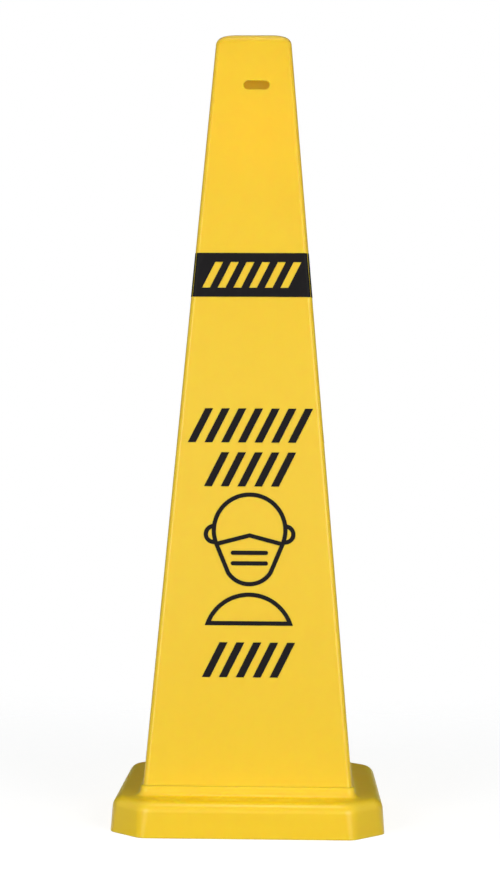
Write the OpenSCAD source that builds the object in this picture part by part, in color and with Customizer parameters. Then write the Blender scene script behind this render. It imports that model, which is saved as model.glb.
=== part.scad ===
// Four-sided floor sign cone. A hollow tapered cone with a foot flange stands on the floor. A loose
// base drops over it from above and sits on the flange. A rubber weight ring is screwed up inside
// the base. The black graphics on the four faces are cut from vinyl. The origin is at the middle of
// the floor face, +Z is up and the printed front faces -Y.

/* [Cone] */
// Height of the cone above the floor
cone_h = 914; // [800:1:1100]
// Width across opposite faces, measured at the floor
cone_foot_w = 242.5; // [210:0.5:280]
// Width across opposite faces, measured at the top
cone_top_w = 86.3; // [70:0.1:120]
// Thickness of the moulded wall
cone_wall = 3; // [2:0.1:4]
// Radius of the four long edges
cone_edge_r = 6; // [5:0.5:10]
// Radius of the rounded rim of the top
cone_top_r = 14; // [8:0.5:16]
// How far the foot flange stands out from the cone
flange_w = 8; // [6:0.5:10]
// Thickness of the foot flange
flange_t = 4; // [3:0.5:6]

/* [Chain slots] */
// Length of each slot from end to end
slot_len = 30.4; // [20:0.1:40]
// Height of each slot
slot_h = 10.7; // [6:0.1:14]
// Depth of the middle of each slot below the top of the cone
slot_drop = 62; // [45:0.5:90]
// How far each slot sits to the right of the middle of its face
slot_shift = 3.8; // [0:0.1:8]

/* [Base] */
// How far the foot of the base stands out from the foot of the cone
base_ledge = 31.75; // [29:0.25:42]
// Length cut off each side at a corner of the base
base_corner_cut = 35.5; // [28:0.5:42]
// Radius of the upright edges beside each corner cut, at the level of the deck
base_plan_r = 28; // [20:0.5:34]
// Radius of the same edges at the floor
base_foot_r = 16; // [6:0.5:20]
// Height of the outer edge of the deck
base_skirt_h = 39.5; // [36:0.5:46]
// Radius between the skirt and the deck
base_edge_r = 13; // [6:0.5:15]
// How far the skirt leans in from the floor to the deck
base_draft = 1.6; // [0.5:0.1:3]
// Thickness of the moulded base
base_wall = 3; // [2:0.1:4]
// How much higher the deck is beside the cone than at its outer edge
deck_rise = 0.5; // [0.2:0.1:3]
// Height of the collar above the deck
collar_h = 11.5; // [11:0.5:20]
// Thickness of the collar's rim
collar_lip = 2.3; // [1:0.1:3]
// Radius between the collar and the deck
collar_fillet = 7; // [3:0.5:8.5]
// Clearance between the collar and the cone
collar_gap = 0.3; // [0.2:0.05:0.6]

/* [Weight ring] */
// Clearance between the ring and what surrounds it
ring_gap = 0.5; // [0.3:0.05:0.8]
// Space between the ring and the underside of the deck
ring_headroom = 2.5; // [1:0.1:4]
// Clearance between the ring and the top of the foot flange
ring_seat_gap = 0.3; // [0.1:0.05:0.6]

/* [Screws] */
// Diameter of a screw's shank
screw_d = 4; // [3:0.1:5]
// Length of a screw under its head
screw_len = 22; // [18:0.5:26]
// Diameter of a screw's head
head_d = 8; // [6:0.1:9]
// Height of a screw's head
head_h = 2.6; // [2:0.1:3]
// Diameter of the bosses under the deck
boss_d = 9; // [7:0.1:11]
// Depth of the pockets in the ring that take the bosses
boss_pocket = 18; // [14:0.5:20]
// Distance between the two screws on one side
screw_pitch = 160; // [100:1:190]

/* [Graphics] */
// Thickness of the vinyl
vinyl_t = 0.25; // [0.1:0.05:0.5]
// Thickness of the glue under the vinyl
glue_t = 0.05; // [0.02:0.01:0.1]
// Height of the lower edge of the header band above the floor
band_z = 603; // [560:1:640]
// Height of the header band
band_h = 51; // [30:0.5:70]
// Gap between the header bands of two faces, at the edge they share
band_gap = 1; // [0.5:0.1:3]
// Height of the slanted bars left bare in the header band
bare_bar_h = 30; // [16:0.5:36]
// Distance from one bare bar to the next
bare_bar_pitch = 18; // [14:0.5:19]
// Number of bare bars
bare_bar_count = 6; // [1:1:6]
// Height of the black slanted bars on the face
bar_h = 39; // [20:0.5:44]
// Distance from one black bar to the next
bar_pitch = 19; // [14:0.5:20]
// Number of black bars in the upper row
upper_bar_count = 7; // [1:1:7]
// Number of black bars in the middle row and in the lower row
short_bar_count = 5; // [1:1:6]
// Width of each slanted bar
bar_w = 9; // [4:0.5:12]
// Gap between the middle row of bars and the upper row
row_gap = 11; // [4:0.5:20]
// Gap between the symbol and the middle row of bars above it
gap_above_symbol = 6.5; // [4:0.5:20]
// Gap between the symbol and the lower row of bars
gap_below_symbol = 18.5; // [4:0.5:30]
// Height of the middle of the symbol above the floor
symbol_z = 304; // [270:1:340]
// Height of the symbol, measured between the middles of its top and bottom lines
symbol_h = 145.2; // [90:0.1:180]
// Width of the symbol's lines
line_w = 4.8; // [3:0.1:7]

/* [Hidden] */
$fn = 48;

// Turn of each face about Z, counted from the front
QUARTER = 90;
FRONT_ANGLE = 0;
RIGHT_SIDE_ANGLE = QUARTER;
BACK_ANGLE = 2 * QUARTER;
LEFT_SIDE_ANGLE = 3 * QUARTER;
FACE_ANGLES = [FRONT_ANGLE, RIGHT_SIDE_ANGLE, BACK_ANGLE, LEFT_SIDE_ANGLE];

// Points on one corner of a ring, and steps along a rounded profile
CORNER_POINTS = 12;
ARC_STEPS = 6;
overrun = 1;

// Cone: lean of a face, and the stretch of a horizontal offset that comes from it
cone_lean = (cone_foot_w - cone_top_w) / 2 / cone_h;
cone_tilt = atan(cone_lean);
cone_stretch = sqrt(1 + cone_lean * cone_lean);
flange_half = cone_foot_w / 2 + flange_w;
slot_z = cone_h - slot_drop;
slot_reach = cone_wall * cone_stretch + slot_h * cone_lean + overrun;
function cone_half(z) = cone_foot_w / 2 - cone_lean * z;

// Base: levels and half widths from the floor up
base_half = cone_foot_w / 2 + base_ledge;
skirt_top_half = base_half - base_draft;
deck_in_z = base_skirt_h + deck_rise;
collar_top_z = deck_in_z + collar_h;
under_deck_z = base_skirt_h - base_wall;
skirt_round_z = base_skirt_h - base_edge_r;
collar_offset = collar_gap + collar_lip;
rim_r = collar_lip / 2;
deck_run = skirt_top_half - base_edge_r - cone_half(deck_in_z) - collar_offset - collar_fillet;
deck_tilt = atan(deck_rise / deck_run);
// What a corner cut loses when the outline moves in by one, and the roundness that an edge keeps
cut_loss_share = 2 - sqrt(2);
least_round_share = 0.1;

// Weight ring: levels, half widths and the row of screws. Its upper part steps in under the rounded edge.
ring_top_z = under_deck_z - ring_headroom;
ring_inset = base_wall + ring_gap;
inner_edge_r = base_edge_r - base_wall;
step_inset = base_edge_r - sqrt(pow(inner_edge_r, 2) - pow(ring_top_z - skirt_round_z, 2)) + ring_gap;
ring_rebate_z = flange_t + ring_seat_gap;
ring_rebate_half = flange_half + ring_gap;
ring_hole_half = cone_foot_w / 2 + ring_gap;
pocket_z = ring_top_z - boss_pocket;
head_recess = head_h * 2;
screw_row = (ring_rebate_half + skirt_top_half - step_inset) / 2;
screw_fit = 0.05;
shank_gap = 0.4;
drive_w = head_h / 3;
drive_len_share = 0.65;
tip_share = 0.12;

// Slant of the bars: how far a bar leans to the right for its height
bar_lean_share = 0.5;

// Rows of bars: set out from the symbol between them
symbol_reach = (symbol_h + line_w) / 2;
middle_row_z = symbol_z + symbol_reach + gap_above_symbol + bar_h / 2;
upper_row_z = middle_row_z + bar_h + row_gap;
lower_row_z = symbol_z - symbol_reach - gap_below_symbol - bar_h / 2;

// Symbol: a masked head and shoulders, in shares of the symbol's height from its middle
head_r_share = 0.279;
head_y_share = 0.221;
mask_top_y_share = 0.114;
nose_y_share = 0.181;
mask_low_x_share = 0.165;
mask_low_y_share = -0.108;
chin_r_share = 0.197;
pleat_x_share = 0.129;
pleat_y_shares = [0.046, -0.036];
loop_r_share = 0.062;
loop_y_share = 0.191;
shoulder_r_share = 0.341;
shoulder_y_share = -0.62;
shoulder_foot_share = -0.5;

// Rings and lofts

// A point turned about Z
function turned(p, angle) = [p.x * cos(angle) - p.y * sin(angle), p.x * sin(angle) + p.y * cos(angle)];

// One rounded corner of a square of half width hw
function round_corner(hw, r) = [
    for (i = [0 : CORNER_POINTS - 1])
        let (a = QUARTER * i / (CORNER_POINTS - 1))
        [hw - r + r * cos(a), hw - r + r * sin(a)]
];

// One cut corner of a square of half width hw, with both upright edges rounded
function cut_corner(hw, r, cut) =
    let (steps = CORNER_POINTS / 2, near = hw - r, far = hw - cut - r * (sqrt(2) - 1))
    [
        for (i = [0 : CORNER_POINTS - 1])
            let (
                first = i < steps,
                a = QUARTER / 2 * (first ? i / (steps - 1) : 1 + (i - steps) / (steps - 1)),
                centre = first ? [near, far] : [far, near]
            )
            centre + r * [cos(a), sin(a)]
    ];

// A closed ring at height z: round corners where cut is zero, cut corners elsewhere
function ring(hw, z, r, cut = 0) = [
    for (angle = FACE_ANGLES)
        for (p = cut == 0 ? round_corner(hw, r) : cut_corner(hw, r, cut))
            concat(turned(p, angle), z)
];

// A solid skinned over rings: closed on itself, or capped at both ends
module loft(rings, loop = false) {
    n = len(rings[0]);
    m = len(rings);
    sides = [
        for (i = [0 : m - (loop ? 1 : 2)])
            for (j = [0 : n - 1])
                let (
                    a = i * n + j,
                    b = i * n + (j + 1) % n,
                    c = ((i + 1) % m) * n + (j + 1) % n,
                    d = ((i + 1) % m) * n + j
                )
                each [[a, c, b], [a, d, c]]
    ];
    caps = loop ? [] : [[for (j = [0 : n - 1]) j], [for (j = [n - 1 : -1 : 0]) (m - 1) * n + j]];
    polyhedron([for (one = rings) each one], concat(sides, caps));
}

// Lays flat shapes on one face of the cone: X along the face, Y up its slope, Z out of it
module on_face(angle)
    rotate([0, 0, angle])
        translate([0, -cone_foot_w / 2, 0])
            rotate([QUARTER - cone_tilt, 0, 0])
                children();

// Distance up the slope of a face at height z
function up_slope(z) = z * cone_stretch;

// Cone

// Rings of the cone's outside, or of its inside at the given inset, from the floor to the top
function cone_rings(inset, from_z) =
    let (
        r = cone_top_r - inset,
        mid_z = cone_h - cone_top_r,
        mid_half = cone_half(mid_z) - cone_top_r * cone_stretch,
        edge = cone_edge_r - inset
    )
    concat(
        [ring(cone_half(from_z) - inset * cone_stretch, from_z, edge)],
        [
            for (i = [0 : ARC_STEPS])
                let (a = cone_tilt + (QUARTER - cone_tilt) * i / ARC_STEPS)
                ring(mid_half + r * cos(a), mid_z + r * sin(a), edge + (r - edge) * i / ARC_STEPS)
        ]
    );

function reversed(list) = [for (i = [len(list) - 1 : -1 : 0]) list[i]];

module slot_cut(angle)
    rotate([0, 0, angle])
        translate([slot_shift, -cone_half(slot_z), slot_z])
            rotate([QUARTER, 0, 0])
                linear_extrude(2 * slot_reach, center = true) {
                    square([slot_len - slot_h, slot_h], center = true);
                    for (side = [-1, 1])
                        translate([side * (slot_len - slot_h) / 2, 0])
                            circle(d = slot_h);
                }

module cone_body()
    color("gold")
        difference() {
            loft(concat(
                reversed(cone_rings(cone_wall, 0)),
                [ring(flange_half, 0, cone_edge_r + flange_w)],
                [ring(flange_half, flange_t, cone_edge_r + flange_w)],
                cone_rings(0, flange_t)
            ));
            for (angle = FACE_ANGLES)
                slot_cut(angle);
        }

// Base

// Radius of the skirt's upright edges at height z
function upright_r(z) = base_foot_r + (base_plan_r - base_foot_r) * min(z / base_skirt_h, 1);

// The skirt's outline moved in by inset, with its corner cut kept parallel and its upright edges round
function skirt_ring(half, z, inset = 0) =
    let (r = max(upright_r(z) - inset, base_foot_r * least_round_share))
    ring(half - inset, z, r, base_corner_cut - inset * cut_loss_share);

// Rounded edge from the skirt up to the angle where the deck starts, so deep inside the wall
function skirt_edge_rings(depth, last) = [
    for (i = [0 : ARC_STEPS])
        let (a = last * i / ARC_STEPS, r = base_edge_r - depth)
        skirt_ring(skirt_top_half, skirt_round_z + r * sin(a), base_edge_r - r * cos(a))
];

// Hollow round from the deck up to the collar
function collar_foot_rings() = [
    for (i = [0 : ARC_STEPS])
        let (
            a = deck_tilt + (QUARTER - deck_tilt) * i / ARC_STEPS,
            z = deck_in_z + collar_fillet * (1 - cos(a)),
            out = collar_offset + collar_fillet * (1 - sin(a))
        )
        ring(cone_half(z) + out, z, cone_edge_r + out)
];

// Rounded rim of the collar
function collar_rim_rings() = [
    for (i = [0 : ARC_STEPS])
        let (
            a = 2 * QUARTER * i / ARC_STEPS,
            z = collar_top_z - rim_r * (1 - sin(a)),
            out = collar_gap + rim_r * (1 + cos(a))
        )
        ring(cone_half(z) + out, z, cone_edge_r + out)
];

module screw_places()
    for (angle = FACE_ANGLES)
        for (side = [-1, 1])
            rotate([0, 0, angle])
                translate([side * screw_pitch / 2, -screw_row, 0])
                    children();

module base_cover()
    color("gold")
        difference() {
            union() {
                loft(concat(
                    [skirt_ring(base_half, 0)],
                    skirt_edge_rings(0, QUARTER - deck_tilt),
                    collar_foot_rings(),
                    collar_rim_rings(),
                    [ring(cone_half(under_deck_z) + collar_gap, under_deck_z, cone_edge_r + collar_gap)],
                    reversed(skirt_edge_rings(base_wall, QUARTER)),
                    [skirt_ring(base_half, 0, base_wall)]
                ), loop = true);
                screw_places()
                    translate([0, 0, pocket_z])
                        cylinder(d = boss_d, h = under_deck_z - pocket_z + base_wall / 2);
            }
            screw_places()
                translate([0, 0, pocket_z - overrun])
                    cylinder(d = screw_d + 2 * screw_fit, h = under_deck_z - pocket_z + overrun);
        }

// Weight ring

module flat_outline(points)
    polygon([for (p = points) [p.x, p.y]]);

module weight_ring()
    color("dimgray")
        difference() {
            union() {
                linear_extrude(skirt_round_z)
                    flat_outline(skirt_ring(skirt_top_half, skirt_round_z, ring_inset));
                linear_extrude(ring_top_z)
                    flat_outline(skirt_ring(skirt_top_half, ring_top_z, step_inset));
            }
            translate([0, 0, -overrun])
                linear_extrude(ring_top_z + 2 * overrun)
                    flat_outline(ring(ring_hole_half, 0, cone_edge_r + ring_gap));
            translate([0, 0, -overrun])
                linear_extrude(ring_rebate_z + overrun)
                    flat_outline(ring(ring_rebate_half, 0, cone_edge_r + flange_w + ring_gap));
            screw_places() {
                translate([0, 0, -overrun])
                    cylinder(d = head_d + 2 * ring_gap, h = head_recess + overrun);
                cylinder(d = screw_d + 2 * shank_gap, h = ring_top_z);
                translate([0, 0, pocket_z])
                    cylinder(d = boss_d + 2 * ring_gap, h = boss_pocket + overrun);
            }
        }

// Screws

module base_screw()
    translate([0, 0, head_recess])
        difference() {
            union() {
                translate([0, 0, -head_h])
                    cylinder(d = head_d, h = head_h);
                cylinder(d = screw_d, h = screw_len * (1 - tip_share));
                translate([0, 0, screw_len * (1 - tip_share)])
                    cylinder(d1 = screw_d, d2 = screw_d / 2, h = screw_len * tip_share);
            }
            for (turn = [0, QUARTER])
                rotate([0, 0, turn])
                    translate([0, 0, -head_h])
                        cube([head_d * drive_len_share, drive_w, head_h], center = true);
        }

module base_screws()
    color("silver")
        screw_places()
            base_screw();

// Graphics

// The line of one face and half of the rounded edge at each side, at height z and offset out
function face_path(z, out) =
    let (
        half = cone_half(z) - cone_edge_r,
        reach = QUARTER / 2 - band_gap / cone_edge_r * QUARTER / PI,
        r = cone_edge_r + out
    )
    [
        for (side = [-1, 1])
            for (i = [0 : ARC_STEPS])
                let (a = side < 0 ? -reach * (1 - i / ARC_STEPS) : reach * i / ARC_STEPS)
                [side * half + r * sin(a), -half - r * cos(a), z]
    ];

function band_section(z) = concat(face_path(z, glue_t + vinyl_t), reversed(face_path(z, glue_t)));

// A row of slanted bars about its own middle
module bar_row(count, pitch, h) {
    lean = h * bar_lean_share;
    for (i = [0 : count - 1])
        translate([(i - (count - 1) / 2) * pitch, 0])
            polygon([
                [-bar_w / 2 - lean / 2, -h / 2],
                [bar_w / 2 - lean / 2, -h / 2],
                [bar_w / 2 + lean / 2, h / 2],
                [-bar_w / 2 + lean / 2, h / 2]
            ]);
}

module header_band(angle)
    color("black")
        difference() {
            rotate([0, 0, angle])
                loft([band_section(band_z), band_section(band_z + band_h)]);
            on_face(angle)
                translate([0, up_slope(band_z + band_h / 2), -overrun])
                    linear_extrude(2 * overrun)
                        bar_row(bare_bar_count, bare_bar_pitch, bare_bar_h);
        }

module hazard_bars(angle)
    color("black")
        on_face(angle)
            translate([0, 0, glue_t])
                linear_extrude(vinyl_t) {
                    translate([0, up_slope(upper_row_z)])
                        bar_row(upper_bar_count, bar_pitch, bar_h);
                    for (z = [middle_row_z, lower_row_z])
                        translate([0, up_slope(z)])
                            bar_row(short_bar_count, bar_pitch, bar_h);
                }

// A line with round ends
module line_stroke(from, to) {
    run = to - from;
    translate(from)
        rotate(atan2(run.y, run.x)) {
            translate([0, -line_w / 2])
                square([norm(run), line_w]);
            circle(d = line_w);
            translate([norm(run), 0])
                circle(d = line_w);
        }
}

// A round line with round ends, turning left from one angle to the other
module arc_stroke(centre, r, from, to) {
    reach = 2 * r + line_w;
    translate(centre) {
        intersection() {
            difference() {
                circle(r = r + line_w / 2);
                circle(r = r - line_w / 2);
            }
            polygon(concat(
                [[0, 0]],
                [
                    for (i = [0 : ARC_STEPS])
                        let (a = from + (to - from) * i / ARC_STEPS)
                        reach * [cos(a), sin(a)]
                ]
            ));
        }
        for (a = [from, to])
            translate(r * [cos(a), sin(a)])
                circle(d = line_w);
    }
}

// Plain shoulders, cut level at the foot, with their outline moved out by grow
module shoulders(grow) {
    r = symbol_h * shoulder_r_share + grow;
    intersection() {
        translate([0, symbol_h * shoulder_y_share])
            circle(r = r);
        translate([-2 * r, symbol_h * shoulder_foot_share - grow])
            square([4 * r, 2 * r]);
    }
}

// A masked head over plain shoulders, drawn about its own middle
module symbol_lines() {
    head_r = symbol_h * head_r_share;
    head_y = symbol_h * head_y_share;
    mask_top_y = symbol_h * mask_top_y_share;
    jaw_a = asin((mask_top_y - head_y) / head_r);
    jaw_x = head_r * cos(jaw_a);
    low = symbol_h * [mask_low_x_share, mask_low_y_share];
    chin_r = symbol_h * chin_r_share;
    chin_a = acos(low.x / chin_r);
    chin_y = low.y + chin_r * sin(chin_a);
    arc_stroke([0, head_y], head_r, jaw_a, 2 * QUARTER - jaw_a);
    arc_stroke([0, chin_y], chin_r, 2 * QUARTER + chin_a, 4 * QUARTER - chin_a);
    for (side = [-1, 1]) {
        line_stroke([side * jaw_x, mask_top_y], [0, symbol_h * nose_y_share]);
        line_stroke([side * jaw_x, mask_top_y], [side * low.x, low.y]);
        arc_stroke(
            [side * head_r, symbol_h * loop_y_share], symbol_h * loop_r_share,
            side > 0 ? -QUARTER : QUARTER, side > 0 ? QUARTER : 3 * QUARTER
        );
    }
    for (y = pleat_y_shares)
        line_stroke(symbol_h * [-pleat_x_share, y], symbol_h * [pleat_x_share, y]);
    difference() {
        shoulders(line_w / 2);
        shoulders(-line_w / 2);
    }
}

module symbol(angle)
    color("black")
        on_face(angle)
            translate([0, up_slope(symbol_z), glue_t])
                linear_extrude(vinyl_t)
                    symbol_lines();

cone_body();
base_cover();
weight_ring();
base_screws();
header_band(FRONT_ANGLE);  // header_band_front
header_band(RIGHT_SIDE_ANGLE);  // header_band_right
header_band(BACK_ANGLE);  // header_band_back
header_band(LEFT_SIDE_ANGLE);  // header_band_left
hazard_bars(FRONT_ANGLE);  // hazard_bars_front
hazard_bars(RIGHT_SIDE_ANGLE);  // hazard_bars_right
hazard_bars(BACK_ANGLE);  // hazard_bars_back
hazard_bars(LEFT_SIDE_ANGLE);  // hazard_bars_left
symbol(FRONT_ANGLE);  // symbol_front
symbol(RIGHT_SIDE_ANGLE);  // symbol_right
symbol(BACK_ANGLE);  // symbol_back
symbol(LEFT_SIDE_ANGLE);  // symbol_left
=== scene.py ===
"""Looks of a four-sided floor sign cone: glossy yellow mouldings, cut black vinyl, a rubber weight
ring and its screws, on a pale floor in soft studio light."""

import math

import bmesh
import bpy
from mathutils import Matrix, Vector


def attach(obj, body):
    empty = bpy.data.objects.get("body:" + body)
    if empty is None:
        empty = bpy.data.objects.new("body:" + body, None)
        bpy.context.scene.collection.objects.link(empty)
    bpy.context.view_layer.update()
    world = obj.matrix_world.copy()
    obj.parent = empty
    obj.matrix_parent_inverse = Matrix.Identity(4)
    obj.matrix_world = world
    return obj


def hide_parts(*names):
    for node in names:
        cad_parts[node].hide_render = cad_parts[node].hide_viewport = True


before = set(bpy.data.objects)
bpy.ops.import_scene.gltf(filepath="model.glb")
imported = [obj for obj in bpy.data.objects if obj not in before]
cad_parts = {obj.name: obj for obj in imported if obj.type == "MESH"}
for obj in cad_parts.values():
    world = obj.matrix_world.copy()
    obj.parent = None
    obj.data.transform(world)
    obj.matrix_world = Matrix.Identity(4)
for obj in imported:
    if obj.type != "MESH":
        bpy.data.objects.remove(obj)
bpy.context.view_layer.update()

# Sizes

MM = 0.001
QUARTER = math.pi / 2
FACE_NAMES = ("front", "right", "back", "left")

# Cone
CONE_H = 914 * MM
CONE_FOOT_HALF = 121.25 * MM
CONE_TOP_HALF = 43.15 * MM
CONE_WALL = 3 * MM
CONE_EDGE_R = 6 * MM
CONE_TOP_R = 14 * MM
FLANGE_W = 8 * MM
FLANGE_T = 4 * MM
FLANGE_EDGE_R = 0.8 * MM
FLANGE_FILLET = 1.2 * MM
CONE_LEAN = (CONE_FOOT_HALF - CONE_TOP_HALF) / CONE_H
CONE_TILT = math.atan(CONE_LEAN)
CONE_STRETCH = math.hypot(1, CONE_LEAN)

# Chain slots
SLOT_LEN = 30.4 * MM
SLOT_H = 10.7 * MM
SLOT_Z = 852 * MM
SLOT_SHIFT = 3.8 * MM
SLOT_EDGE_R = 0.9 * MM
SLOT_PANEL_LOW = 832 * MM
SLOT_PANEL_HIGH = 872 * MM

# Base
BASE_HALF = 153 * MM
BASE_CORNER_CUT = 35.5 * MM
BASE_DECK_PLAN_R = 28 * MM
BASE_FLOOR_PLAN_R = 16 * MM
BASE_SKIRT_H = 39.5 * MM
BASE_EDGE_R = 13 * MM
BASE_DRAFT = 1.6 * MM
BASE_WALL = 3 * MM
BASE_FOOT_R = 0.8 * MM
DECK_RISE = 0.5 * MM
COLLAR_H = 11.5 * MM
COLLAR_LIP = 2.3 * MM
COLLAR_FILLET = 7 * MM
COLLAR_GAP = 0.3 * MM
RIM_GAP = 0.04 * MM
RIM_INNER_R = 0.08 * MM

# Screw bosses under the deck
BOSS_R = 4.5 * MM
BOSS_HOLE_R = 2.05 * MM
BOSS_FOOT_Z = 16 * MM
BOSS_EDGE_R = 0.5 * MM
BOSS_ROW = 137.13 * MM
BOSS_PITCH = 160 * MM
BOSS_SIDES = 32

# What a corner cut loses when the outline moves in by one, and the roundness that an edge keeps
CUT_LOSS_SHARE = 2 - math.sqrt(2)
LEAST_ROUND_SHARE = 0.1

# Steps round a corner of an outline, along a rounded profile, round a slot's end, along a fillet, along
# a small rounded edge and over the inner edge of the rim
CORNER_STEPS = 15
PROFILE_STEPS = 12
SLOT_END_STEPS = 14
FILLET_STEPS = 5
EDGE_STEPS = 4
RIM_INNER_STEPS = 3

# Border round the flat face that closes the cone's top
CAP_BORDER = 2 * MM

# Soft boxes: name, place, width and height, power in watts, and whether gloss shows their image
SOFT_BOXES = (
    ("left_lamp", (-1.3, -2.25, 0.84), (0.9, 1.5), 33.4, True),
    ("right_lamp", (1.3, -2.25, 0.84), (0.9, 1.5), 36.2, True),
    ("front_lamp", (0, -3.0, 0.85), (1.5, 0.9), 5, True),
    ("top_lamp", (0.1, -0.35, 2.4), (0.4, 0.4), 2.5, True),
    ("back_left_lamp", (-0.7, 2.4, 0.25), (0.9, 0.5), 20, False),
    ("back_right_lamp", (0.7, 2.4, 0.25), (0.9, 0.5), 20, False),
)
LAMP_TARGET = Vector((0, 0, 0.42))

# Floor and room: the floor's size and grey, its glow where it is seen, the distances from the middle
# where it starts to fade and is gone, the distance at the end of the ramp, and the room's dim light
FLOOR_SIZE = 8
FLOOR_GREY = 0.32
FLOOR_GLOW = 0.85
FADE_START = 0.4
FADE_END = 1.4
FADE_REACH = 2
ROOM_LIGHT = 0.08


def cone_half(z):
    """Half the width of the cone across opposite faces, at height z."""
    return CONE_FOOT_HALF - CONE_LEAN * z


# Camera and studio


def aim_camera():
    """A lens at the photograph's place: to the right, below the middle, looking slightly up."""
    place = Vector((45.4, -2088.4, 401.4)) * MM
    heading, pitch, roll = 0.02285, 0.01959, 0.00649
    lens = bpy.data.cameras.new("camera")
    lens.sensor_fit = "VERTICAL"
    lens.sensor_height = 36
    lens.lens = 72.433
    camera = bpy.data.objects.new("camera", lens)
    camera.matrix_world = (
        Matrix.Translation(place)
        @ Matrix.Rotation(heading, 4, "Z")
        @ Matrix.Rotation(QUARTER + pitch, 4, "X")
        @ Matrix.Rotation(roll, 4, "Z")
    )
    bpy.context.scene.collection.objects.link(camera)
    bpy.context.scene.camera = camera


def soft_box(name, place, size, power, shines):
    """A rectangular studio lamp that faces the sign. Gloss shows its image only if it shines."""
    lamp = bpy.data.lights.new(name, "AREA")
    lamp.shape = "RECTANGLE"
    lamp.size, lamp.size_y = size
    lamp.energy = power
    holder = bpy.data.objects.new(name, lamp)
    holder.location = place
    holder.rotation_euler = (LAMP_TARGET - Vector(place)).to_track_quat("-Z", "Y").to_euler()
    holder.visible_glossy = shines
    bpy.context.scene.collection.objects.link(holder)


def deck_spot(place, pool_radius, power):
    """A spot that shines straight down. Its pool on the floor ends at the foot of the cone."""
    lamp = bpy.data.lights.new("deck_spot", "SPOT")
    lamp.spot_size = 2 * math.atan2(pool_radius, place[2])
    lamp.spot_blend = 0.03
    lamp.shadow_soft_size = 0.05
    lamp.energy = power
    holder = bpy.data.objects.new("deck_spot", lamp)
    holder.location = place
    bpy.context.scene.collection.objects.link(holder)


def hollow_light(place, radius, power):
    """A faint lamp in the cone's hollow, for the light that seeps in through the plastic.

    It is far on the blue side, because the yellow walls take up most of the blue."""
    lamp = bpy.data.lights.new("hollow_light", "POINT")
    lamp.shadow_soft_size = radius
    lamp.energy = power
    lamp.color = (0.55, 0.98, 12)
    holder = bpy.data.objects.new("hollow_light", lamp)
    holder.location = place
    holder.visible_camera = False
    holder.visible_glossy = False
    bpy.context.scene.collection.objects.link(holder)


# Shader sums


class Wire:
    """A shader socket that can be used in sums. Each operator adds a Math node."""

    def __init__(self, finish, socket):
        self.finish = finish
        self.socket = socket

    def sum_of(self, operation, first, second):
        """Joins two values or sockets by one Math node."""
        return self.finish.node("ShaderNodeMath", {"operation": operation}, {0: first, 1: second})

    def __add__(self, other):
        return self.sum_of("ADD", self, other)

    def __radd__(self, other):
        return self.sum_of("ADD", other, self)

    def __mul__(self, other):
        return self.sum_of("MULTIPLY", self, other)

    def __rmul__(self, other):
        return self.sum_of("MULTIPLY", other, self)


class Finish:
    """A node tree that is being wired up, of a material or of the world."""

    def __init__(self, owner):
        owner.use_nodes = True
        self.owner = owner
        self.tree = owner.node_tree
        self.tree.nodes.clear()

    def node(self, kind, settings=None, sockets=None, out=0):
        """Adds one node: its settings first, then the values or links of its sockets."""
        made = self.tree.nodes.new(kind)
        for key, value in (settings or {}).items():
            if key == "stops":
                set_stops(made.color_ramp.elements, value)
            else:
                setattr(made, key, value)
        for key, value in (sockets or {}).items():
            if isinstance(value, Wire):
                self.tree.links.new(value.socket, made.inputs[key])
            else:
                made.inputs[key].default_value = value
        return Wire(self, made.outputs[out]) if made.outputs else None

    def places(self):
        """Where a point of the surface is on its piece, in metres."""
        return self.node("ShaderNodeTexCoord", out="Object")

    def stretched(self, scale):
        """The same places, with each axis scaled by itself."""
        sockets = {"Vector": self.places(), "Scale": scale}
        return self.node("ShaderNodeMapping", {"vector_type": "POINT"}, sockets)

    def noise(self, scale, detail=2.0, roughness=0.5, at=None):
        """Smooth noise between 0 and 1, with so many lumps to the metre."""
        return self.node("ShaderNodeTexNoise", sockets={
            "Vector": at or self.places(), "Scale": scale, "Detail": detail, "Roughness": roughness,
        })

    def ramp(self, value, *stops):
        """A value run through stops of (place, grey)."""
        return self.node("ShaderNodeValToRGB", {"stops": stops}, {"Fac": value})

    def blend(self, share, first, second):
        """A colour between two others."""
        return self.node("ShaderNodeMix", {"data_type": "RGBA"}, {0: share, 6: first, 7: second}, out=2)

    def bump(self, height, depth, over=None):
        """A normal tipped by a height between 0 and 1 that stands for a depth in metres."""
        sockets = {"Height": height, "Distance": depth, "Strength": 1.0}
        if over:
            sockets["Normal"] = over
        return self.node("ShaderNodeBump", sockets=sockets)

    def surface(self, **sockets):
        """A plain surface shader. Its sockets are named with _ for a space."""
        named = {key.replace("_", " "): value for key, value in sockets.items()}
        return self.node("ShaderNodeBsdfPrincipled", sockets=named)

    def done(self, shader):
        """Ends the tree with a shader and gives its owner back."""
        whole_room = isinstance(self.owner, bpy.types.World)
        kind = "ShaderNodeOutputWorld" if whole_room else "ShaderNodeOutputMaterial"
        self.node(kind, sockets={"Surface": shader})
        return self.owner


def set_stops(elements, stops):
    """Gives a colour ramp its stops of (place, grey)."""
    while len(elements) < len(stops):
        elements.new(1.0)
    for element, (place, grey) in zip(elements, stops):
        element.position = place
        element.color = (grey, grey, grey, 1)


# Finishes


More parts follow.
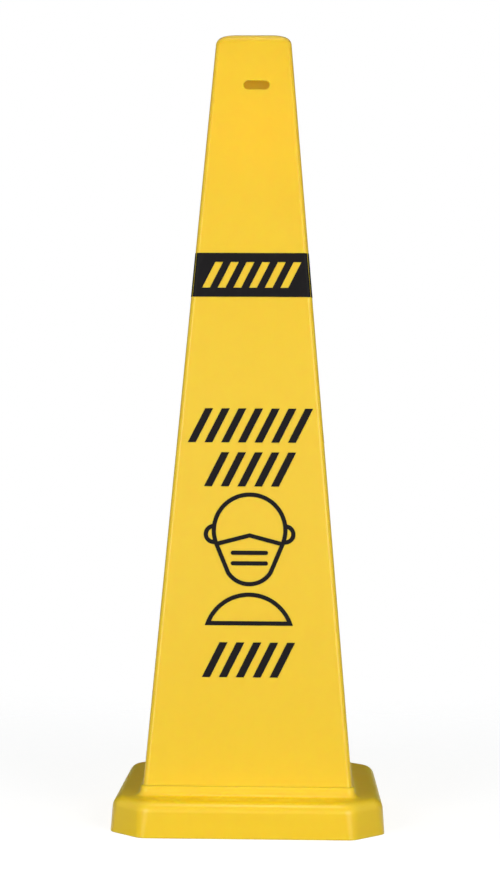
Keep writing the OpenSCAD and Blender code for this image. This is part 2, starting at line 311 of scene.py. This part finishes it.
def yellow_plastic():
    """Glossy moulded polyethylene: even colour, sink marks, faint flow lines and orange peel."""
    finish = Finish(bpy.data.materials.new("yellow_plastic"))
    slow = finish.noise(7, detail=3)
    flow = finish.noise(1, detail=4, at=finish.stretched((60, 60, 5)))
    tone = slow * 0.6 + flow * 0.4
    colour = finish.blend(tone, (0.90, 0.595, 0.009, 1), (0.945, 0.635, 0.013, 1))
    haze = finish.noise(34, detail=5, roughness=0.6)
    streaks = finish.noise(1, detail=3, at=finish.stretched((900, 900, 120)))
    scuffs = finish.ramp(streaks, (0.62, 0), (0.74, 1))
    roughness = 0.27 + haze * 0.10 + scuffs * 0.06
    sink = finish.bump(finish.noise(16, detail=1), 0.25 * MM)
    peel = finish.bump(finish.noise(520, detail=2), 0.02 * MM, over=sink)
    return finish.done(finish.surface(
        Base_Color=colour, Roughness=roughness, Normal=peel,
        Subsurface_Weight=1.0, Subsurface_Radius=(1.0, 0.95, 0.5), Subsurface_Scale=3 * MM,
        IOR=1.5, Specular_IOR_Level=0.3,
    ))


def black_vinyl():
    """Satin cut vinyl: near black, with fine grain and a little dust in the grain."""
    finish = Finish(bpy.data.materials.new("black_vinyl"))
    grain = finish.noise(1400, detail=3)
    dust = finish.ramp(finish.noise(90, detail=6, roughness=0.7), (0.5, 0), (0.8, 1))
    colour = finish.blend(dust * 0.5, (0.006, 0.005, 0.0055, 1), (0.016, 0.015, 0.014, 1))
    roughness = 0.38 + grain * 0.12 + dust * 0.08
    return finish.done(finish.surface(
        Base_Color=colour, Roughness=roughness, Normal=finish.bump(grain, 0.012 * MM), IOR=1.46,
        Specular_IOR_Level=0.08,
    ))


def ballast_rubber():
    """Pressed rubber crumb: dark grains of uneven shade and height."""
    finish = Finish(bpy.data.materials.new("ballast_rubber"))
    cells = {"Vector": finish.places(), "Scale": 420, "Randomness": 1.0}
    grains = finish.node("ShaderNodeTexVoronoi", {"feature": "F1"}, cells, out="Color")
    shade = finish.node("ShaderNodeSeparateColor", sockets={"Color": grains})
    hollows = finish.node("ShaderNodeTexVoronoi", {"feature": "DISTANCE_TO_EDGE"}, cells)
    crumb = finish.ramp(hollows, (0.0, 0), (0.12, 1))
    dusty = finish.noise(60, detail=5, roughness=0.65)
    tone = shade * 0.7 + dusty * 0.3
    colour = finish.blend(tone, (0.010, 0.010, 0.011, 1), (0.055, 0.053, 0.050, 1))
    return finish.done(finish.surface(
        Base_Color=colour, Roughness=0.74 + shade * 0.18,
        Normal=finish.bump(crumb * 0.6 + shade * 0.4, 0.25 * MM), Specular_IOR_Level=0.3,
    ))


def screw_steel():
    """Zinc plated steel: bright, with a faint straw tint and fine uneven polish."""
    finish = Finish(bpy.data.materials.new("screw_steel"))
    tint = finish.noise(220, detail=4)
    colour = finish.blend(tint, (0.56, 0.56, 0.58, 1), (0.66, 0.63, 0.55, 1))
    polish = finish.noise(2600, detail=3)
    return finish.done(finish.surface(
        Base_Color=colour, Metallic=1.0, Roughness=0.26 + polish * 0.2,
        Normal=finish.bump(polish, 0.01 * MM),
    ))


def seen_directly(finish):
    """1 for rays from the camera, mirrors and glass, 0 for rays that light the object."""
    path = finish.node("ShaderNodeLightPath").socket.node
    names = ("Is Camera Ray", "Is Glossy Ray", "Is Transmission Ray")
    camera, glossy, glass = (Wire(finish, path.outputs[name]) for name in names)
    clamped = {"operation": "ADD", "use_clamp": True}
    return finish.node("ShaderNodeMath", clamped, {0: camera + glossy, 1: glass})


def pale_floor():
    """A white floor that keeps the object's shadow and fades into the white behind it."""
    finish = Finish(bpy.data.materials.new("pale_floor"))
    grey = (FLOOR_GREY, FLOOR_GREY, FLOOR_GREY, 1)
    paint = finish.node("ShaderNodeBsdfDiffuse", sockets={"Color": grey})
    glow = finish.node("ShaderNodeEmission", sockets={"Color": (1, 1, 1, 1), "Strength": FLOOR_GLOW})
    bright = finish.node("ShaderNodeAddShader", sockets={0: paint, 1: glow})
    seen = seen_directly(finish)
    lit = finish.node("ShaderNodeMixShader", sockets={0: seen, 1: paint, 2: bright})
    length = {"operation": "LENGTH"}
    away = finish.node("ShaderNodeVectorMath", length, {0: finish.places()}, out="Value")
    share = away * (1 / FADE_REACH)
    fade = finish.ramp(share, (FADE_START / FADE_REACH, 0), (FADE_END / FADE_REACH, 1))
    clear = finish.node("ShaderNodeBsdfTransparent")
    return finish.done(finish.node("ShaderNodeMixShader", sockets={0: fade, 1: lit, 2: clear}))


def light_room():
    """White where it is seen, and a low even light elsewhere."""
    world = bpy.data.worlds.new("room")
    bpy.context.scene.world = world
    finish = Finish(world)
    white = finish.node("ShaderNodeBackground", sockets={"Color": (1, 1, 1, 1), "Strength": 1.0})
    cool = {"Color": (0.8, 1, 1.1, 1), "Strength": ROOM_LIGHT}
    dim = finish.node("ShaderNodeBackground", sockets=cool)
    seen = seen_directly(finish)
    finish.done(finish.node("ShaderNodeMixShader", sockets={0: seen, 1: dim, 2: white}))


# Outlines and skins


def turned(point, quarter):
    """A flat point turned about the middle by so many quarters."""
    x, y = point
    for _ in range(quarter):
        x, y = -y, x
    return x, y


def round_corner(half, r):
    """One rounded corner of a square."""
    angles = [QUARTER * i / CORNER_STEPS for i in range(CORNER_STEPS + 1)]
    return [(half - r + r * math.cos(a), half - r + r * math.sin(a)) for a in angles]


def cut_corner(half, r, cut):
    """One cut corner of a square, with both upright edges rounded."""
    near, far = half - r, half - cut - r * (math.sqrt(2) - 1)
    steps = (CORNER_STEPS - 1) // 2
    angles = [QUARTER / 2 * i / steps for i in range(steps + 1)]
    first = [(near + r * math.cos(a), far + r * math.sin(a)) for a in angles]
    return first + [(y, x) for x, y in reversed(first)]


def ring(half, z, r, cut=0):
    """A closed outline at height z, as a list of points."""
    corner = cut_corner(half, r, cut) if cut else round_corner(half, r)
    return [Vector((*turned(p, quarter), z)) for quarter in range(4) for p in corner]


def side_of(index):
    """The face that the outline runs along after a point, or None where it turns a corner."""
    corner, step = divmod(index, CORNER_STEPS + 1)
    return ("back", "left", "front", "right")[corner] if step == CORNER_STEPS else None


def skin(bm, rings, closed=False, leave_out=()):
    """Faces between each ring and the next. leave_out holds the rows whose flat sides stay open."""
    rows = [[bm.verts.new(p) for p in points] for points in rings]
    count = len(rows[0])
    for i in range(len(rows) if closed else len(rows) - 1):
        low, high = rows[i], rows[(i + 1) % len(rows)]
        for j in range(count):
            if i in leave_out and side_of(j):
                continue
            k = (j + 1) % count
            bm.faces.new((low[j], low[k], high[k], high[j]))
    return rows


def arc(steps, start, end):
    """Angles from start to end."""
    return [start + (end - start) * i / steps for i in range(steps + 1)]


def finished_piece(bm, name, material, body, node):
    """Turns a mesh into a piece with even shading, which rides on a body and stands for a node."""
    bmesh.ops.recalc_face_normals(bm, faces=bm.faces)
    mesh = bpy.data.meshes.new(name)
    bm.to_mesh(mesh)
    bm.free()
    mesh.shade_smooth()
    mesh.materials.append(material)
    piece = bpy.data.objects.new(name, mesh)
    bpy.context.scene.collection.objects.link(piece)
    shading = piece.modifiers.new("even_shading", "WEIGHTED_NORMAL")
    shading.weight = 100
    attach(piece, body)
    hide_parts(node)


# Cone


def cone_profile(inset, from_z):
    """Rings of the cone from a height up to the flat of its top, on its outside or inset from it."""
    r = CONE_TOP_R - inset
    edge = CONE_EDGE_R - inset
    mid_z = CONE_H - CONE_TOP_R
    mid_half = cone_half(mid_z) - CONE_TOP_R * CONE_STRETCH
    rings = [
        ring(cone_half(z) - inset * CONE_STRETCH, z, edge)
        for z in (from_z, SLOT_PANEL_LOW, SLOT_PANEL_HIGH)
    ]
    for i, a in enumerate(arc(PROFILE_STEPS, CONE_TILT, QUARTER)):
        turn = edge + (r - edge) * i / PROFILE_STEPS
        rings.append(ring(mid_half + r * math.cos(a), mid_z + r * math.sin(a), turn))
    return rings


def flange_profile():
    """Rings of the foot flange, from the inside of the cone's mouth round to the cone's outside."""
    inner = CONE_FOOT_HALF - CONE_WALL * CONE_STRETCH
    outer = CONE_FOOT_HALF + FLANGE_W
    turn = CONE_EDGE_R + FLANGE_W
    e = FLANGE_EDGE_R
    turns = arc(EDGE_STEPS, 0, QUARTER)
    rings = [ring(inner + e * (1 - math.cos(a)), e * (1 - math.sin(a)), CONE_EDGE_R - CONE_WALL)
             for a in turns]
    rings += [ring(outer - e * (1 - math.sin(a)), e * (1 - math.cos(a)), turn) for a in turns]
    rings += [ring(outer - e * (1 - math.cos(a)), FLANGE_T - e * (1 - math.sin(a)), turn)
              for a in turns]
    for a in arc(FILLET_STEPS, 0, QUARTER):
        z = FLANGE_T + FLANGE_FILLET * (1 - math.cos(a))
        out = FLANGE_FILLET * (1 - math.sin(a))
        rings.append(ring(cone_half(z) + out, z, CONE_EDGE_R + out))
    return rings


def slot_loop(grow, depth):
    """The outline of the front slot, grown by so much, at a depth under the front face."""
    r = SLOT_H / 2 + grow
    reach = (SLOT_LEN - SLOT_H) / 2
    loop = []
    for side in (1, -1):
        for a in arc(SLOT_END_STEPS, -QUARTER, QUARTER):
            x = SLOT_SHIFT + side * (reach + r * math.cos(a))
            z = SLOT_Z + side * r * math.sin(a)
            loop.append(Vector((x, depth - cone_half(z), z)))
    return loop


def slot_profile():
    """Loops through the wall at the front slot, rounded over at both faces."""
    wall = CONE_WALL * CONE_STRETCH
    r = SLOT_EDGE_R
    outer = [slot_loop(r * (1 - math.sin(a)), r * (1 - math.cos(a)))
             for a in arc(FILLET_STEPS, 0, QUARTER)]
    inner = [slot_loop(r * (1 - math.sin(a)), wall - r * (1 - math.cos(a)))
             for a in arc(FILLET_STEPS, QUARTER, 0)]
    return outer + inner


def fill_round_slot(bm, low, high, side, loop):
    """Fills the open panel of one face round the edge of its slot."""
    j = next(i for i in range(len(low)) if side_of(i) == side)
    k = (j + 1) % len(low)
    frame_verts = (low[j], low[k], high[k], high[j])
    edges = []
    for verts in (frame_verts, loop):
        for i, vert in enumerate(verts):
            pair = (vert, verts[(i + 1) % len(verts)])
            edges.append(bm.edges.get(pair) or bm.edges.new(pair))
    bmesh.ops.triangle_fill(bm, edges=edges, use_beauty=True, use_dissolve=False)


def cap(bm, row, z):
    """Closes a ring at the top with a narrow border and one flat face."""
    middle = Vector((0, 0, z))
    inner = []
    for vert in row:
        way = Vector((vert.co.x, vert.co.y, 0))
        inner.append(bm.verts.new(middle + way * (1 - CAP_BORDER / way.length)))
    for i in range(len(row)):
        k = (i + 1) % len(row)
        bm.faces.new((row[i], row[k], inner[k], inner[i]))
    bm.faces.new(inner)


def cone_shell(material):
    """The hollow cone: inside, foot flange, outside, closed top and a slot in each face."""
    bm = bmesh.new()
    inside = list(reversed(cone_profile(CONE_WALL, FLANGE_EDGE_R)))[:-1]
    outside = cone_profile(0, FLANGE_T + FLANGE_FILLET)[1:]
    flange = flange_profile()
    first_outside = len(inside) + len(flange)
    inner_panel = len(inside) - 2
    outer_panel = first_outside
    rows = skin(bm, inside + flange + outside, leave_out=(inner_panel, outer_panel))
    cap(bm, rows[0], CONE_H - CONE_WALL)
    cap(bm, rows[-1], CONE_H)
    for quarter, side in enumerate(FACE_NAMES):
        turn = Matrix.Rotation(QUARTER * quarter, 3, "Z")
        loops = [[bm.verts.new(turn @ p) for p in loop] for loop in slot_profile()]
        for near, far in zip(loops, loops[1:]):
            for i in range(len(near)):
                k = (i + 1) % len(near)
                bm.faces.new((near[i], near[k], far[k], far[i]))
        fill_round_slot(bm, rows[outer_panel], rows[outer_panel + 1], side, loops[0])
        fill_round_slot(bm, rows[inner_panel + 1], rows[inner_panel], side, loops[-1])
    finished_piece(bm, "cone_shell", material, "cone", "cone_body")


# Base


def skirt_ring(half, z, inset=0):
    """The skirt's outline moved in by inset. Its upright edges grow rounder with height."""
    plan_r = BASE_FLOOR_PLAN_R + (BASE_DECK_PLAN_R - BASE_FLOOR_PLAN_R) * min(z / BASE_SKIRT_H, 1)
    r = max(plan_r - inset, LEAST_ROUND_SHARE * BASE_FLOOR_PLAN_R)
    return ring(half - inset, z, r, BASE_CORNER_CUT - inset * CUT_LOSS_SHARE)


def skirt_edge(depth, last):
    """The rounded edge from the skirt up to a last angle, so deep inside the wall."""
    r = BASE_EDGE_R - depth
    low_z = BASE_SKIRT_H - BASE_EDGE_R
    return [
        skirt_ring(BASE_HALF - BASE_DRAFT, low_z + r * math.sin(a), BASE_EDGE_R - r * math.cos(a))
        for a in arc(PROFILE_STEPS, 0, last)
    ]


def collar_ring(z, out):
    """An outline round the cone at height z, so far out from its faces."""
    return ring(cone_half(z) + out, z, CONE_EDGE_R + out)


def collar_profile(deck_in_z, deck_tilt):
    """Rings from the deck's inner edge up the hollow round and over the collar's rim, to the cone."""
    out = COLLAR_GAP + COLLAR_LIP
    rim_crest = RIM_GAP + RIM_INNER_R
    rim_r = out - rim_crest
    top_z = deck_in_z + COLLAR_H
    rings = []
    for a in arc(PROFILE_STEPS, deck_tilt, QUARTER):
        z = deck_in_z + COLLAR_FILLET * (1 - math.cos(a))
        rings.append(collar_ring(z, out + COLLAR_FILLET * (1 - math.sin(a))))
    for a in arc(PROFILE_STEPS, 0, QUARTER):
        rings.append(collar_ring(top_z - rim_r * (1 - math.sin(a)), rim_crest + rim_r * math.cos(a)))
    for a in arc(RIM_INNER_STEPS, QUARTER, 2 * QUARTER)[1:]:
        z = top_z - RIM_INNER_R * (1 - math.sin(a))
        rings.append(collar_ring(z, rim_crest + RIM_INNER_R * math.cos(a)))
    return rings


def lathe(bm, middle, profile):
    """A round solid on an upright axis. Its profile of (radius, z) starts and ends on the axis."""
    turns = [2 * math.pi * i / BOSS_SIDES for i in range(BOSS_SIDES)]
    x, y = middle
    first, last = (bm.verts.new((x, y, z)) for _, z in (profile[0], profile[-1]))
    rows = [[bm.verts.new((x + r * math.cos(a), y + r * math.sin(a), z)) for a in turns]
            for r, z in profile[1:-1]]
    for i in range(BOSS_SIDES):
        k = (i + 1) % BOSS_SIDES
        bm.faces.new((first, rows[0][i], rows[0][k]))
        bm.faces.new((last, rows[-1][k], rows[-1][i]))
        for near, far in zip(rows, rows[1:]):
            bm.faces.new((near[i], far[i], far[k], near[k]))


def add_bosses(bm):
    """Eight tubes that hang from the deck and take the screws, two to a side."""
    under_deck = BASE_SKIRT_H - BASE_WALL
    e = BOSS_EDGE_R
    turns = arc(EDGE_STEPS, 0, QUARTER)
    foot = [(BOSS_HOLE_R + e * (1 - math.cos(a)), BOSS_FOOT_Z + e * (1 - math.sin(a))) for a in turns]
    foot += [(BOSS_R - e * (1 - math.sin(a)), BOSS_FOOT_Z + e * (1 - math.cos(a))) for a in turns]
    top = under_deck + BASE_WALL / 2
    profile = [(0, under_deck), (BOSS_HOLE_R, under_deck), *foot, (BOSS_R, top), (0, top)]
    for quarter in range(4):
        for side in (-1, 1):
            lathe(bm, turned((side * BOSS_PITCH / 2, -BOSS_ROW), quarter), profile)


def base_shell(material):
    """The base: skirt with cut corners, rounded edge, deck, collar, hollow underside and bosses."""
    bm = bmesh.new()
    deck_in_z = BASE_SKIRT_H + DECK_RISE
    collar_foot = cone_half(deck_in_z) + COLLAR_GAP + COLLAR_LIP + COLLAR_FILLET
    deck_tilt = math.atan2(DECK_RISE, BASE_HALF - BASE_DRAFT - BASE_EDGE_R - collar_foot)
    foot = BASE_FOOT_R
    rings = [skirt_ring(BASE_HALF, foot * (1 - math.sin(a)), foot * (1 - math.cos(a)))
             for a in arc(EDGE_STEPS, QUARTER, 0)]
    wall_h = BASE_SKIRT_H - BASE_EDGE_R
    rings += [skirt_ring(BASE_HALF - BASE_DRAFT * share, wall_h * share) for share in (0.25, 0.5, 0.75)]
    rings += skirt_edge(0, QUARTER - deck_tilt)
    rings += collar_profile(deck_in_z, deck_tilt)
    rings.append(collar_ring(BASE_SKIRT_H - BASE_WALL, COLLAR_GAP))
    rings += reversed(skirt_edge(BASE_WALL, QUARTER))
    rings.append(skirt_ring(BASE_HALF, foot, BASE_WALL))
    skin(bm, rings, closed=True)
    add_bosses(bm)
    finished_piece(bm, "base_shell", material, "base", "base_cover")


# Scene


def lay_floor():
    """The pale floor that the sign stands on."""
    bpy.ops.mesh.primitive_plane_add(size=FLOOR_SIZE)
    floor = bpy.context.object
    floor.name = "floor"
    floor.data.materials.append(pale_floor())


def hang_dark_card():
    """A dark card behind the sign, which only its gloss sees, as the unlit end of a studio."""
    bpy.ops.mesh.primitive_plane_add(size=1, location=(0, 1.6, 1.3), rotation=(QUARTER, 0, 0))
    card = bpy.context.object
    card.name = "dark_card"
    card.scale = (6, 2.6, 1)
    finish = Finish(bpy.data.materials.new("dark_card"))
    dim = finish.node("ShaderNodeEmission", sockets={"Color": (0.6, 1, 0.65, 1), "Strength": 0.12})
    card.data.materials.append(finish.done(dim))
    card.visible_camera = False
    card.visible_diffuse = False
    card.visible_transmission = False
    card.visible_shadow = False


def dress_node(name, material):
    """Gives a carried-over solid its finish."""
    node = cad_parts[name]
    node.data.materials.clear()
    node.data.materials.append(material)


bpy.context.scene.view_settings.view_transform = "Standard"
aim_camera()
light_room()
for lamp in SOFT_BOXES:
    soft_box(*lamp)
deck_spot(place=(0, -0.61, 2.2), pool_radius=0.51, power=29)
hollow_light(place=(0, 0, 0.79), radius=0.02, power=0.1)
lay_floor()
hang_dark_card()

yellow = yellow_plastic()
cone_shell(yellow)
base_shell(yellow)
vinyl = black_vinyl()
for face in FACE_NAMES:
    for graphic in ("header_band", "hazard_bars", "symbol"):
        dress_node(f"{graphic}_{face}", vinyl)
dress_node("weight_ring", ballast_rubber())
dress_node("base_screws", screw_steel())
